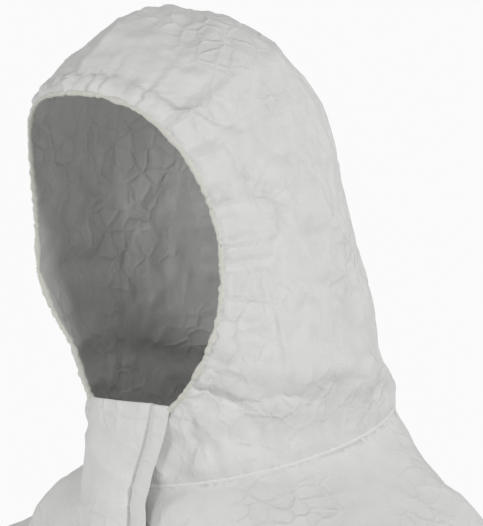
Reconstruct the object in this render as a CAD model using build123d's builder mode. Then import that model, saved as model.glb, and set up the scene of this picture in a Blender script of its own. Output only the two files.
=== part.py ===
from build123d import *
from math import atan, cos, radians, sin
import os

# A hooded one-piece protective suit in the shape it has when it is worn.
# The wearer faces -Y and their left side is +X. The origin is the centre of the
# neck seam, where the suit rests on the shoulders. All lengths are millimetres.

# Cloth and clearances
cloth = 2.0  # wall of every cloth panel
body_gap = 0.8  # between pieces that move apart
lining_gap = 0.1  # between a panel and what is bonded to its inside
lining = 1.4  # elastic, seam allowance and label

# Main heights
hood_rise = 262.0  # crown above the origin
crotch_drop = 745.0
hem_drop = 1505.0  # leg hems below the origin

# Neck seam: nearly a circle, in a plane that rises towards the nape
neck_half_width = 94.0
neck_half_depth = 95.0
neck_rise = 0.267  # rise of the seam per length towards the back
neck_hem = 8.0  # seam allowance inside

# Body half-widths and depths
front_slope = 0.055  # the straight zip line leans forward by this as it falls
shoulder_half_width = 202.0
armpit_half_width = 172.0
chest_half_width = 182.0
waist_half_width = 174.0
hip_half_width = 204.0
chest_drop = 350.0
waist_drop = 450.0
hip_drop = 600.0
chest_back = 125.0
waist_back = 104.0
seat_back = 122.0
side_seam_y = 6.0

# Legs
leg_spread = 105.0  # leg centre beside the middle, at the crotch
leg_half_width = 97.0
ankle_spread = 129.0
ankle_half_width = 52.0
ankle_hem = 14.0

# Sleeves
armhole_radius = 98.0
armhole_x = 190.0
armhole_drop = 148.0
armhole_tilt = 12.0  # degrees that the armhole faces below level
bend_radius = 101.0  # of the bend's centre line, about a line under the arm
sleeve_bend = 72.0
sleeve_length = 492.0  # from the bend's end to the cuff
wrist_radius = 38.0
cuff_hem = 14.0

# Face opening, seen from the side
hem_side = 94.0  # its straight side edge, ahead of the origin
hem_bottom = 9.0
hem_turn = 112.0  # where the straight edge turns forward
hem_top = 203.0
hem_brow = 139.0  # how far forward the opening's top reaches
hem_width = 7.0

# Zip
zip_top = hem_bottom
zip_end = -705.0
tape_width = 17.0
tape_thickness = 1.0
tape_depth = 0.5  # tape face behind the zip line
zip_split = 0.7  # half of the gap between the two rows of coil
coil_width = 2.7
coil_height = 1.8
stop_length = 4.0
slider_length = 11.0
slider_half_width = 5.2
slider_plate = 1.2
slider_play = 0.3
post_half_width = 0.4
post_length = 4.0
lug_inner = 2.4
lug_outer = 3.6
pivot_height = 4.0  # puller pivot ahead of the zip line
pivot_radius = 0.8
pin_play = 0.1
puller_length = 21.0
puller_width = 7.0
puller_thickness = 1.6

# Storm flap over the zip
flap_half_width = 32.0
flap_crest = 14.0  # half-width of the raised middle
flap_thickness = 1.2
flap_lift = 13.0  # raised middle ahead of the zip line, clear of the puller
flap_edge_lift = 3.0
flap_over_top = 18.0
flap_below = 10.0

# Small pieces
waist_elastic_width = 14.0
label_half_width = 20.0
label_height = 36.0
gusset_half_width = 44.0
gusset_half_length = 74.0
crown_seam_width = 5.0


def front_line(z):
    """Y of the suit's straight front line at height z."""
    return -neck_half_depth + front_slope * (z + neck_rise * neck_half_depth)


# Planes that several pieces share
neck_tilt = atan(neck_rise)
neck_plane = Plane(origin=(0, 0, 0), x_dir=(1, 0, 0), z_dir=(0, -sin(neck_tilt), cos(neck_tilt)))
zip_plane = Plane(
    origin=(0, front_line(zip_top), zip_top), x_dir=(1, 0, 0), z_dir=(0, -1, front_slope)
)
zip_length = zip_top - zip_end
tilt = radians(armhole_tilt)
armhole_plane = Plane(
    origin=(armhole_x, 0, -armhole_drop), x_dir=(0, 1, 0), z_dir=(cos(tilt), 0, -sin(tilt))
)

# Body sections: height, half-width, back. The front follows front_line.
body_sections = [
    (48, neck_half_width - 2, neck_half_depth - 2),
    (25, neck_half_width + 1, neck_half_depth),
    (12, neck_half_width + 4, neck_half_depth + 4),
    (0, neck_half_width + 14, neck_half_depth + 9),
    (-12, neck_half_width + 25, neck_half_depth + 15),
    (-26, neck_half_width + 57, neck_half_depth + 21),
    (-41, shoulder_half_width - 18, neck_half_depth + 26),
    (-54, shoulder_half_width, neck_half_depth + 27),
    (-90, shoulder_half_width, chest_back - 2),
    (-armhole_drop, armhole_x, chest_back),
    (-armhole_drop - 60, armpit_half_width + 6, chest_back),
    (-armhole_drop - 112, armpit_half_width, chest_back),
    (-chest_drop, chest_half_width, chest_back - 7),
    (-waist_drop, waist_half_width, waist_back),
    (-hip_drop, hip_half_width - 10, seat_back + 6),
    (-crotch_drop, hip_half_width, seat_back),
]

# Leg sections: share of the way to the hem, centre y, half-width, half-depth
leg_sections = [
    (0.0, -10, leg_half_width, 112),
    (0.2, -8, leg_half_width - 5, 104),
    (0.42, -4, leg_half_width - 13, 94),
    (0.67, 4, leg_half_width - 21, 84),
    (0.9, 10, ankle_half_width + 14, 74),
    (1.0, 12, ankle_half_width, 58),
]

# Hood sections: height, half-width, half-depth, centre y
hood_sections = [
    (-45, neck_half_width, neck_half_depth, 0),
    (0, neck_half_width, neck_half_depth + 1, -1),
    (25, neck_half_width + 3, neck_half_depth + 5, -6),
    (48, neck_half_width + 13, neck_half_depth + 1, -20),
    (96, 100, 102, -36),
    (144, 92, 102, -46),
    (182, 85, 98, -50),
    (hood_rise - 49, 74, 84, -48),
    (hood_rise - 27, 58, 62, -47),
    (hood_rise - 9, 33, 37, -50),
    (hood_rise, 11, 13, -53),
]

# Left sleeve: a quarter bend under the arm, then a straight taper to the wrist
start_plane = armhole_plane.offset(body_gap / 2)
bend_centre = start_plane.from_local_coords((0, -bend_radius, 0))
arm_angle = tilt + radians(sleeve_bend)
arm_top = bend_centre + Vector(sin(arm_angle), 0, cos(arm_angle)) * bend_radius
arm_plane = Plane(origin=arm_top, x_dir=(0, 1, 0), z_dir=(cos(arm_angle), 0, -sin(arm_angle)))
wrist_plane = arm_plane.offset(sleeve_length)


def body_form(inset):
    """Body, legs and armhole stubs as one solid, drawn in by inset."""
    with BuildPart() as form:
        for height, half_width, back in body_sections:
            front = front_line(height)
            shift = inset if height == -crotch_drop else 0
            shift = -inset if height > -60 else shift
            with BuildSketch(Plane.XY.offset(height + shift)):
                with Locations((0, (front + back) / 2)):
                    Ellipse(half_width - inset, (back - front) / 2 - inset)
        loft(ruled=True)
        for side in (1, -1):
            for share, y, half_width, half_depth in leg_sections:
                x = side * (leg_spread + (ankle_spread - leg_spread) * share)
                height = -crotch_drop - (hem_drop - crotch_drop) * share
                height += 3 * cloth if share == 0 else 0
                height -= inset if share == 1 else 0
                with BuildSketch(Plane.XY.offset(height)):
                    with Locations((x, y)):
                        Ellipse(half_width - inset, half_depth - inset)
            loft(ruled=True)
        with BuildSketch(armhole_plane.offset(inset)):
            Circle(armhole_radius - inset)
        stub = extrude(amount=-(70 + inset))
        mirror(stub, about=Plane.YZ)
    return form.part


def hood_form(inset):
    """The hood as one solid, drawn in by inset."""
    with BuildPart() as form:
        for height, half_width, half_depth, y in hood_sections:
            drop = inset * height / hood_rise if height > 0 else 0
            with BuildSketch(Plane.XY.offset(height - drop)):
                with Locations((0, y)):
                    Ellipse(half_width - inset, half_depth - inset)
        loft(ruled=True)
    return form.part


def sleeve_form(inset):
    """The left sleeve as one solid, drawn in by inset. An inner form runs past both ends."""
    with BuildPart() as form:
        with BuildSketch(start_plane):
            Circle(armhole_radius - inset)
        revolve(axis=Axis(bend_centre, (0, 1, 0)), revolution_arc=sleeve_bend)
        with BuildSketch(arm_plane):
            Circle(armhole_radius - inset)
        with BuildSketch(wrist_plane):
            Circle(wrist_radius - inset)
        loft()
        if inset > 0:
            with BuildSketch(start_plane):
                Circle(armhole_radius - inset)
            extrude(amount=-5)
            with BuildSketch(wrist_plane):
                Circle(wrist_radius - inset)
            extrude(amount=5)
    return form.part


def opening_form(margin):
    """The face opening's side view, grown by margin, run through the hood from side to side."""
    side = -hem_side + margin
    turn = (side, hem_turn)
    brow = (-hem_brow + margin * 0.6, hem_top + margin * 0.8)
    ahead = -neck_half_depth - 120
    with BuildPart() as form:
        with BuildSketch(Plane.YZ) as view:
            with BuildLine():
                Line((side, hem_bottom - margin), turn)
                Spline(turn, brow, tangents=((0, 1), (-1, 0.28)))
                Polyline(brow, (ahead, hem_top + 30), (ahead, hem_bottom - margin), (side, hem_bottom - margin))
            make_face()
        extrude(amount=160, both=True)
    return form.part


def write(piece, label):
    """Names a finished piece and writes its file."""
    piece.label = label
    export_step(piece, f"parts/{label}.step")
    print(label, len(piece.solids()), round(piece.volume))


def write_pair(piece, label):
    """Writes a left piece and its mirror image on the right."""
    write(piece, label.format("left"))
    write(mirror(piece, about=Plane.YZ), label.format("right"))


os.makedirs("parts", exist_ok=True)

# ---- Body shell: outer form less inner form, cut at the neck seam and the armholes
with BuildPart() as body_shell:
    add(body_form(0))
    add(body_form(cloth), mode=Mode.SUBTRACT)
    split(bisect_by=neck_plane.offset(-body_gap / 2), keep=Keep.BOTTOM)
    split(bisect_by=Plane.YZ, keep=Keep.TOP)
    with BuildSketch(armhole_plane.offset(-body_gap / 2)):
        Circle(armhole_radius + 5)
    extrude(amount=40, mode=Mode.SUBTRACT)
    with BuildSketch(zip_plane.offset(10)):
        with Locations((0, -zip_length / 2 + 10)):
            Rectangle(2 * tape_width + 0.6, zip_length + 20)
    extrude(amount=-26, mode=Mode.SUBTRACT)

# ---- Left half of the body: gusset, ankle hem, then front and back of what is left
with BuildPart() as gusset_zone:
    with BuildSketch(Plane.XY.offset(-crotch_drop - 14)):
        Polygon(
            (-gusset_half_width, 0), (0, gusset_half_length), (gusset_half_width, 0),
            (0, -gusset_half_length), align=None,
        )
    extrude(amount=24)
with BuildPart() as half_gusset:
    add(body_shell.part)
    add(gusset_zone.part, mode=Mode.INTERSECT)
with BuildPart() as ankle_hem_left:
    add(body_shell.part)
    split(bisect_by=Plane.XY.offset(-hem_drop + ankle_hem), keep=Keep.BOTTOM)
with BuildPart() as front_left_panel:
    add(body_shell.part)
    split(bisect_by=Plane.XY.offset(-hem_drop + ankle_hem), keep=Keep.TOP)
    split(bisect_by=Plane.XZ.offset(-side_seam_y), keep=Keep.TOP)
    add(gusset_zone.part, mode=Mode.SUBTRACT)
with BuildPart() as back_left_panel:
    add(body_shell.part)
    split(bisect_by=Plane.XY.offset(-hem_drop + ankle_hem), keep=Keep.TOP)
    split(bisect_by=Plane.XZ.offset(-side_seam_y), keep=Keep.BOTTOM)
    add(gusset_zone.part, mode=Mode.SUBTRACT)
with BuildPart() as crotch_gusset:
    add(half_gusset.part)
    mirror(about=Plane.YZ)
write_pair(front_left_panel.part, "front_{}_panel")
write_pair(back_left_panel.part, "back_{}_panel")
write_pair(ankle_hem_left.part, "ankle_hem_{}")
write(crotch_gusset.part, "crotch_gusset")

# ---- What is sewn to the inside of the body
with BuildPart() as body_lining:
    add(body_form(cloth + lining_gap))
    add(body_form(cloth + lining_gap + lining), mode=Mode.SUBTRACT)


def inside_slab(top, height, width, depth_from):
    """Part of the body lining below a plane, inside a block of the given width and depth."""
    with BuildPart() as piece:
        add(body_lining.part)
        split(bisect_by=top, keep=Keep.BOTTOM)
        split(bisect_by=top.offset(-height), keep=Keep.TOP)
        with BuildPart(mode=Mode.INTERSECT):
            with Locations((0, depth_from + 200, 0)):
                Box(width, 400, 4000)
    return piece.part


neck_band = inside_slab(neck_plane.offset(-1), neck_hem, 600, -300)
with BuildPart() as neck_seam:
    add(neck_band)
    with Locations((0, -neck_half_depth, 0)):
        Box(2 * tape_width + 6, 60, 200, mode=Mode.SUBTRACT)
write(neck_seam.part, "neck_seam")
write(inside_slab(neck_plane.offset(-neck_hem - 2), label_height, 2 * label_half_width, 40), "neck_label")
waist_top = Plane.XY.offset(-waist_drop + waist_elastic_width / 2)
write(inside_slab(waist_top, waist_elastic_width, 600, side_seam_y + 4), "waist_elastic")
with BuildPart() as ankle_elastic_left:
    add(inside_slab(Plane.XY.offset(-hem_drop + ankle_hem - 2), ankle_hem - 4, 600, -200))
    split(bisect_by=Plane.YZ, keep=Keep.TOP)
write_pair(ankle_elastic_left.part, "ankle_elastic_{}")

# ---- Zip: in the zip plane X runs across, Y up along the zip, Z out from the chest
def zip_block(x_from, x_to, y_from, y_to, z_from, z_to):
    """A block given by its limits in the zip plane."""
    with BuildPart(zip_plane) as block:
        with Locations(((x_from + x_to) / 2, (y_from + y_to) / 2, (z_from + z_to) / 2)):
            Box(x_to - x_from, y_to - y_from, z_to - z_from)
    return block.part


coil_out = coil_height - tape_depth
coil_edge = zip_split + coil_width
with BuildPart() as zip_tape_left:
    add(zip_block(zip_split, tape_width, -zip_length, 0, -tape_depth - tape_thickness, -tape_depth))
write_pair(zip_tape_left.part, "zip_tape_{}")
with BuildPart() as zip_coil_left:
    add(zip_block(zip_split, coil_edge, -zip_length + stop_length, -stop_length, -tape_depth, coil_out))
    long_edges = zip_coil_left.edges().sort_by(SortBy.LENGTH)[-4:]
    fillet(long_edges.sort_by(Axis.Y)[:2], radius=0.6)
write_pair(zip_coil_left.part, "zip_coil_{}")
write_pair(zip_block(zip_split, coil_edge + 0.6, -stop_length, -0.2, -tape_depth, coil_out + 0.6), "zip_top_stop_{}")
write(
    zip_block(-coil_edge - 0.8, coil_edge + 0.8, -zip_length + 0.2, -zip_length + stop_length,
              -tape_depth, coil_out + 0.8),
    "zip_bottom_stop",
)

# Slider: two plates round the coil, joined by a thin post between the rows
slider_top = -stop_length - slider_play
slider_end = slider_top - slider_length
plate_in = coil_out + slider_play
plate_out = plate_in + slider_plate
back_out = -tape_depth - tape_thickness - slider_play
pivot_y = slider_top - 4.5
pin_place = zip_plane * Location((0, pivot_y, pivot_height), (0, 90, 0))
with BuildPart() as zip_slider:
    add(zip_block(-slider_half_width, slider_half_width, slider_end, slider_top, plate_in, plate_out))
    add(zip_block(-slider_half_width, slider_half_width, slider_end, slider_top,
                  back_out - slider_plate, back_out))
    add(zip_block(-post_half_width, post_half_width, slider_top - post_length, slider_top,
                  back_out - slider_plate, plate_out))
    for side in (1, -1):
        flange = sorted((side * (coil_edge + slider_play), side * slider_half_width))
        add(zip_block(*flange, slider_end, slider_top, -tape_depth + slider_play, plate_in + 0.1))
        lug = sorted((side * lug_inner, side * lug_outer))
        add(zip_block(*lug, pivot_y - 1.6, pivot_y + 1.6, plate_out - 0.1, pivot_height + 1.5))
    with Locations(pin_place):
        Cylinder(pivot_radius, 2 * lug_outer - 0.4)
write(zip_slider.part, "zip_slider")

# Puller: a barrel on the pin, a neck between the lugs, then the wider tab with a hole
barrel = pivot_radius + pin_play + 0.7
tab_top = pivot_y - 3.2
tab_end = pivot_y - puller_length
half_thick = puller_thickness / 2
neck_half = lug_inner - slider_play
with BuildPart() as zip_puller:
    add(zip_block(-neck_half, neck_half, tab_top - 1, pivot_y, pivot_height - half_thick,
                  pivot_height + half_thick))
    add(zip_block(-puller_width / 2, puller_width / 2, tab_end, tab_top, pivot_height - half_thick,
                  pivot_height + half_thick))
    tab_edges = zip_puller.edges().filter_by(lambda edge: abs(edge.length - puller_thickness) < 0.01)
    fillet(tab_edges.sort_by(Axis.Z)[:2], radius=2.4)
    with Locations(pin_place):
        Cylinder(barrel - 0.4, 2 * neck_half)
        Cylinder(pivot_radius + pin_play, 2 * neck_half + 1, mode=Mode.SUBTRACT)
    with BuildSketch(zip_plane.offset(pivot_height + 3)):
        with Locations((0, tab_end + 6.5)):
            SlotOverall(7.5, 2.6, rotation=90)
    extrude(amount=-6, mode=Mode.SUBTRACT)
write(zip_puller.part, "zip_puller")

# ---- Storm flap: one bent strip, sewn along the wearer's right of the zip
with BuildPart() as storm_flap:
    cross = Plane(origin=zip_plane.from_local_coords((0, flap_over_top, 0)), x_dir=(1, 0, 0),
                  z_dir=-zip_plane.y_dir)
    with BuildSketch(cross):
        low = flap_edge_lift
        high = flap_lift
        Polygon(
            (-flap_half_width, low), (-flap_crest, high), (flap_crest, high), (flap_half_width, low),
            (flap_half_width, low + flap_thickness), (flap_crest, high + flap_thickness),
            (-flap_crest, high + flap_thickness), (-flap_half_width, low + flap_thickness),
            align=None,
        )
    extrude(amount=flap_over_top + zip_length + flap_below)
write(storm_flap.part, "storm_flap")

# ---- Sleeves
with BuildPart() as sleeve_shell:
    add(sleeve_form(0))
    add(sleeve_form(cloth), mode=Mode.SUBTRACT)
with BuildPart() as sleeve_left:
    add(sleeve_shell.part)
    split(bisect_by=wrist_plane.offset(-cuff_hem), keep=Keep.BOTTOM)
with BuildPart() as cuff_hem_left:
    add(sleeve_shell.part)
    split(bisect_by=wrist_plane.offset(-cuff_hem), keep=Keep.TOP)
with BuildPart() as cuff_elastic_left:
    add(sleeve_form(cloth + lining_gap))
    add(sleeve_form(cloth + lining_gap + lining), mode=Mode.SUBTRACT)
    split(bisect_by=wrist_plane.offset(-cuff_hem + 2), keep=Keep.TOP)
    split(bisect_by=wrist_plane.offset(-2), keep=Keep.BOTTOM)
write_pair(sleeve_left.part, "sleeve_{}")
write_pair(cuff_hem_left.part, "cuff_hem_{}")
write_pair(cuff_elastic_left.part, "cuff_elastic_{}")

# ---- Hood: shell above the neck seam, less the face opening and the zip's slot
with BuildPart() as hood_shell:
    add(hood_form(0))
    add(hood_form(cloth), mode=Mode.SUBTRACT)
    split(bisect_by=neck_plane.offset(body_gap / 2), keep=Keep.TOP)
    add(opening_form(0), mode=Mode.SUBTRACT)
    with Locations((0, -neck_half_depth - 20, 0)):
        Box(2 * tape_width + 2, 70, 90, mode=Mode.SUBTRACT)
with BuildPart() as face_hem:
    add(hood_shell.part)
    add(opening_form(hem_width), mode=Mode.INTERSECT)
with BuildPart() as hood_left_panel:
    add(hood_shell.part)
    add(opening_form(hem_width), mode=Mode.SUBTRACT)
    split(bisect_by=Plane.YZ, keep=Keep.TOP)
write_pair(hood_left_panel.part, "hood_{}_panel")
write(face_hem.part, "face_hem")
with BuildPart() as hood_lining:
    add(hood_form(cloth + lining_gap))
    add(hood_form(cloth + lining_gap + lining), mode=Mode.SUBTRACT)
    split(bisect_by=neck_plane.offset(2), keep=Keep.TOP)
    with Locations((0, -neck_half_depth - 20, 0)):
        Box(2 * tape_width + 8, 70, 90, mode=Mode.SUBTRACT)
with BuildPart() as face_elastic:
    add(hood_lining.part)
    add(opening_form(hem_width - 1), mode=Mode.INTERSECT)
    add(opening_form(1), mode=Mode.SUBTRACT)
write(face_elastic.part, "face_elastic")
with BuildPart() as crown_seam:
    add(hood_lining.part)
    add(opening_form(hem_width + 1), mode=Mode.SUBTRACT)
    with BuildPart(mode=Mode.INTERSECT):
        Box(crown_seam_width, 800, 800)
write(crown_seam.part, "crown_seam")
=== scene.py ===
import bpy
import bmesh
import math
import time
import numpy as np
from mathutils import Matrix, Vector


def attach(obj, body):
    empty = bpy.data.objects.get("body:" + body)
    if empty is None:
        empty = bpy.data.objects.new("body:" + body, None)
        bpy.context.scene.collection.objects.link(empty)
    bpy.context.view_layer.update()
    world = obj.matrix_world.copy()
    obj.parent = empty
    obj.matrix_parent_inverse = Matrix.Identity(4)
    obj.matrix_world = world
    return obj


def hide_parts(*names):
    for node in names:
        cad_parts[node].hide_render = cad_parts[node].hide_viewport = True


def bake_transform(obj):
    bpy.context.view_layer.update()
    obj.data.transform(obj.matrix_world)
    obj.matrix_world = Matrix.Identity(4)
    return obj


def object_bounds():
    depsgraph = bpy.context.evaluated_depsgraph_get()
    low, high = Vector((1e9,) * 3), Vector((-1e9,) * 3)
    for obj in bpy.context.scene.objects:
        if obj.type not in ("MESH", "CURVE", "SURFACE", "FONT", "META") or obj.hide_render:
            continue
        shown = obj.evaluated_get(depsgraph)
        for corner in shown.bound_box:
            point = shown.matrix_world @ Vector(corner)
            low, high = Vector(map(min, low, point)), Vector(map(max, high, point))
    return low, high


startTime = time.time()
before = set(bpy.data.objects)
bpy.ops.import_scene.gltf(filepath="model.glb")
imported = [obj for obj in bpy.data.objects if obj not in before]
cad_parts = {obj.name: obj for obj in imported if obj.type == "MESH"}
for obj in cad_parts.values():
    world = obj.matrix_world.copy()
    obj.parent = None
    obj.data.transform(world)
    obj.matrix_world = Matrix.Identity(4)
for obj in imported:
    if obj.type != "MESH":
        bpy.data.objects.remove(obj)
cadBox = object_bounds()
mm = 0.001  # shapes below are given in millimetres


def report(stage):
    print(f"[{time.time() - startTime:6.1f}s] {stage}")


# Camera: level with the head, on the wearer's left front

cameraSettings = {
    "azimuth": 47.0, "elevation": 1.0, "distance": 1400.0, "aim": (0.0, 4.0, 104.6), "across": -2.7,
    "lens": 168.3, "sensor": 36,
}


def makeCamera(s):
    a, e = math.radians(s["azimuth"]), math.radians(s["elevation"])
    away = Vector((math.sin(a) * math.cos(e), -math.cos(a) * math.cos(e), math.sin(e)))
    across = Vector((math.cos(a), math.sin(a), 0))
    aim = Vector(s["aim"]) + across * s["across"]
    data = bpy.data.cameras.new("camera")
    data.sensor_fit = "HORIZONTAL"
    data.sensor_width = s["sensor"]
    data.lens = s["lens"]
    camera = bpy.data.objects.new("camera", data)
    camera.location = (aim + away * s["distance"]) * mm
    camera.rotation_euler = (-away).to_track_quat("-Z", "Y").to_euler()
    bpy.context.scene.collection.objects.link(camera)
    bpy.context.scene.camera = camera
    return across


screenRight = makeCamera(cameraSettings)
report("camera placed")


# Small helpers for shapes

# Values between points, without overshoot
def smoothLine(xs, ys):
    xs, ys = np.array(xs, float), np.array(ys, float)
    order = np.argsort(xs)
    xs, ys = xs[order], ys[order]
    gap = np.diff(xs)
    slope = np.diff(ys) / gap
    tangent = np.zeros(len(xs))
    same = slope[:-1] * slope[1:] > 0
    tangent[1:-1][same] = 2 * slope[:-1][same] * slope[1:][same] / (slope[:-1] + slope[1:])[same]
    tangent[0], tangent[-1] = slope[0], slope[-1]

    def value(x):
        x = np.clip(x, xs[0], xs[-1])
        i = np.clip(np.searchsorted(xs, x, side="right") - 1, 0, len(xs) - 2)
        t = (x - xs[i]) / gap[i]
        a = (1 + 2 * t) * (1 - t) ** 2
        b = t * (1 - t) ** 2
        c = t * t * (3 - 2 * t)
        d = t * t * (t - 1)
        return a * ys[i] + b * gap[i] * tangent[i] + c * ys[i + 1] + d * gap[i] * tangent[i + 1]
    return value


# A smooth line through points, resampled at an even spacing
def evenLine(points, spacing, closed=False):
    pts = np.array(points, float)
    n = len(pts)
    count = n if closed else n - 1
    out = []
    for i in range(count):
        p0 = pts[(i - 1) % n] if closed or i > 0 else 2 * pts[0] - pts[1]
        p1, p2 = pts[i], pts[(i + 1) % n]
        p3 = pts[(i + 2) % n] if closed or i + 2 < n else 2 * p2 - p1
        for t in np.linspace(0, 1, 24, endpoint=False):
            bend, twist = 2 * p0 - 5 * p1 + 4 * p2 - p3, 3 * p1 - p0 - 3 * p2 + p3
            out.append(0.5 * (2 * p1 + (p2 - p0) * t + bend * t * t + twist * t ** 3))
    out.append(pts[0] if closed else pts[-1])
    out = np.array(out)
    run = np.concatenate([[0], np.cumsum(np.linalg.norm(np.diff(out, axis=0), axis=1))])
    steps = max(int(round(run[-1] / spacing)), 2)
    at = np.linspace(0, run[-1], steps + 1)
    even = np.stack([np.interp(at, run, out[:, k]) for k in range(3)], 1)
    return (even[:-1], at[:-1]) if closed else (even, at)


tableSize = 4096  # random numbers that the noise's cells share


def cellKey(c):
    return (c[:, 0] * 73856093 ^ c[:, 1] * 19349663 ^ c[:, 2] * 83492791) % tableSize


# Smooth noise between -1 and 1 that changes over about size
def softNoise(points, size, seed):
    table = np.random.default_rng(seed).uniform(-1, 1, tableSize)
    q = np.asarray(points, float) / size + 1000.0  # keeps the cells' numbers above zero
    cell = np.floor(q).astype(int)
    f = q - cell
    f = f * f * (3 - 2 * f)
    total = np.zeros(len(q))
    for dx in (0, 1):
        for dy in (0, 1):
            for dz in (0, 1):
                key = cellKey(cell + np.array([dx, dy, dz]))
                weight = np.abs(1 - dx - f[:, 0]) * np.abs(1 - dy - f[:, 1]) * np.abs(1 - dz - f[:, 2])
                total += table[key] * weight
    return total


# Soft swells that meet in sharp ridges, as in crushed paper
def crumple(points, size, seed):
    bend = np.stack([softNoise(points, size * 1.3, seed + k) for k in (1, 2, 3)], 1) * size * 0.35
    a = np.abs(softNoise(points + bend, size, seed + 4))
    b = np.abs(softNoise(points + bend, size * 0.62, seed + 5))
    return 0.75 - 1.6 * a - 0.8 * b


# 0 on the border between two random cells, larger inside one
def cellNoise(points, size, seed):
    q = np.asarray(points, float) / size + 1000.0
    cell = np.floor(q).astype(int)
    table = np.random.default_rng(seed).uniform(0, 1, (tableSize, 3))
    first, second = np.full(len(q), 9.0), np.full(len(q), 9.0)
    for dx in (-1, 0, 1):
        for dy in (-1, 0, 1):
            for dz in (-1, 0, 1):
                c = cell + np.array([dx, dy, dz])
                d = np.linalg.norm(c + table[cellKey(c)] - q, axis=1)
                second = np.minimum(np.maximum(first, d), second)
                first = np.minimum(first, d)
    return second - first


# Straight sharp ridges between nearly flat facets
def facets(points, size, seed):
    bend = np.stack([softNoise(points, size * 1.7, seed + k) for k in (1, 2, 3)], 1) * size * 0.2
    return 0.3 - cellNoise(points + bend, size, seed)


# 0 at low, 1 at high, smooth between
def fade(x, low, high):
    t = np.clip((x - low) / (high - low), 0, 1)
    return t * t * (3 - 2 * t)


# Distance to a line of points, and the nearest point's index
def nearestOn(points, line):
    best = np.full(len(points), 1e9)
    index = np.zeros(len(points), int)
    for start in range(0, len(line), 64):
        part = line[start:start + 64]
        d = np.linalg.norm(points[:, None, :] - part[None], axis=2)
        i = d.argmin(1)
        v = d[np.arange(len(points)), i]
        closer = v < best
        best[closer], index[closer] = v[closer], i[closer] + start
    return best, index


def meshObject(name, verts, faces):
    mesh = bpy.data.meshes.new(name)
    places = [tuple(v) for v in np.asarray(verts, float) * mm]
    mesh.from_pydata(places, [], [tuple(int(i) for i in f) for f in faces])
    mesh.update()
    obj = bpy.data.objects.new(name, mesh)
    bpy.context.scene.collection.objects.link(obj)
    return obj


# The quads between rings of n points. A joined piece's last ring meets its first
def ringFaces(rings, n, joined=False):
    faces = []
    for j in range(rings if joined else rings - 1):
        k = (j + 1) % rings
        faces += [(j * n + i, j * n + (i + 1) % n, k * n + (i + 1) % n, k * n + i) for i in range(n)]
    return faces


# Points in millimetres, or normals
def getVectors(obj, what):
    found = np.zeros(len(obj.data.vertices) * 3)
    obj.data.vertices.foreach_get(what, found)
    return found.reshape(-1, 3)


def getPoints(obj):
    return getVectors(obj, "co") / mm


def setPoints(obj, points):
    obj.data.vertices.foreach_set("co", (points * mm).astype(np.float32).ravel())
    obj.data.update()


def getNormals(obj):
    return getVectors(obj, "normal")


# Turns an object with modifiers into a plain mesh
def bakeModifiers(obj):
    depsgraph = bpy.context.evaluated_depsgraph_get()
    mesh = bpy.data.meshes.new_from_object(obj.evaluated_get(depsgraph))
    obj.modifiers.clear()
    obj.data = mesh
    return obj


def subdivide(obj):
    smooth = obj.modifiers.new("finer", "SUBSURF")
    smooth.levels = smooth.render_levels = 1
    bakeModifiers(obj)


# Lets the cloth move: it is a little too large for its form and is held where hold is 1. It moves
# much further than the form allows, so each move is cut to the cap, and most free points end near it.
def drape(obj, s, hold):
    began = getPoints(obj)
    group = obj.vertex_groups.new(name="held")
    for level in (0.25, 0.5, 0.75, 1.0):
        chosen = np.nonzero(hold >= level - 0.12)[0]
        group.add([int(i) for i in chosen], level, "REPLACE")
    cloth = obj.modifiers.new("cloth", "CLOTH")
    rule = cloth.settings
    rule.quality = s["quality"]
    rule.mass = s["mass"]
    rule.tension_stiffness = rule.compression_stiffness = s["stretch"]
    rule.shear_stiffness = s["stretch"] * 0.5
    rule.bending_stiffness = s["bend"]
    rule.air_damping = s["damping"]
    rule.shrink_min = -s["spare"]
    rule.vertex_group_mass = "held"
    rule.effector_weights.gravity = s["gravity"]
    cloth.collision_settings.use_collision = False
    cloth.point_cache.frame_start = 1
    cloth.point_cache.frame_end = s["frames"]
    scene = bpy.context.scene
    for number in range(1, s["frames"] + 1):
        scene.frame_set(number)
    depsgraph = bpy.context.evaluated_depsgraph_get()
    ended = getPoints(obj.evaluated_get(depsgraph))
    obj.modifiers.clear()
    obj.vertex_groups.clear()
    scene.frame_set(1)
    moved = ended - began
    far = np.linalg.norm(moved, axis=1)
    print(f"  {obj.name}: cloth moved {far.mean():.1f} mm on average, {far.max():.1f} mm at most")
    far = np.maximum(far, 1e-6)
    moved *= (s["cap"] * np.tanh(far / s["cap"]) / far)[:, None]
    setPoints(obj, began + moved)


# Cuts the mesh at a plane and drops what is behind it. where limits the cut to faces near a place
def cutMesh(obj, point, normal, where=None):
    bm = bmesh.new()
    bm.from_mesh(obj.data)
    chosen = [f for f in bm.faces if where is None or where(f.calc_center_median() / mm)]
    geom = list({v for f in chosen for v in f.verts}) + list({e for f in chosen for e in f.edges}) + chosen
    place, facing = Vector(point) * mm, Vector(normal)
    bmesh.ops.bisect_plane(bm, geom=geom, plane_co=place, plane_no=facing, clear_inner=True)
    bm.to_mesh(obj.data)
    bm.free()


def outwards(obj):
    bm = bmesh.new()
    bm.from_mesh(obj.data)
    bmesh.ops.recalc_face_normals(bm, faces=bm.faces)
    bm.to_mesh(obj.data)
    bm.free()


def smoothShade(obj):
    obj.data.polygons.foreach_set("use_smooth", [True] * len(obj.data.polygons))


# Materials

clothLook = {"colour": (0.80, 0.80, 0.79), "roughness": 0.62, "fibre": 0.9, "dimple": 1.9, "wrinkle": 13.0}


# Adds a node. Its inputs are set to a value, or fed by another node's output
def addNode(tree, kind, inputs, **traits):
    node = tree.nodes.new(kind)
    for trait, value in traits.items():
        setattr(node, trait, value)
    for socket, value in inputs.items():
        if isinstance(value, bpy.types.NodeSocket):
            tree.links.new(value, node.inputs[socket])
        else:
            node.inputs[socket].default_value = value
    return node


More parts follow.
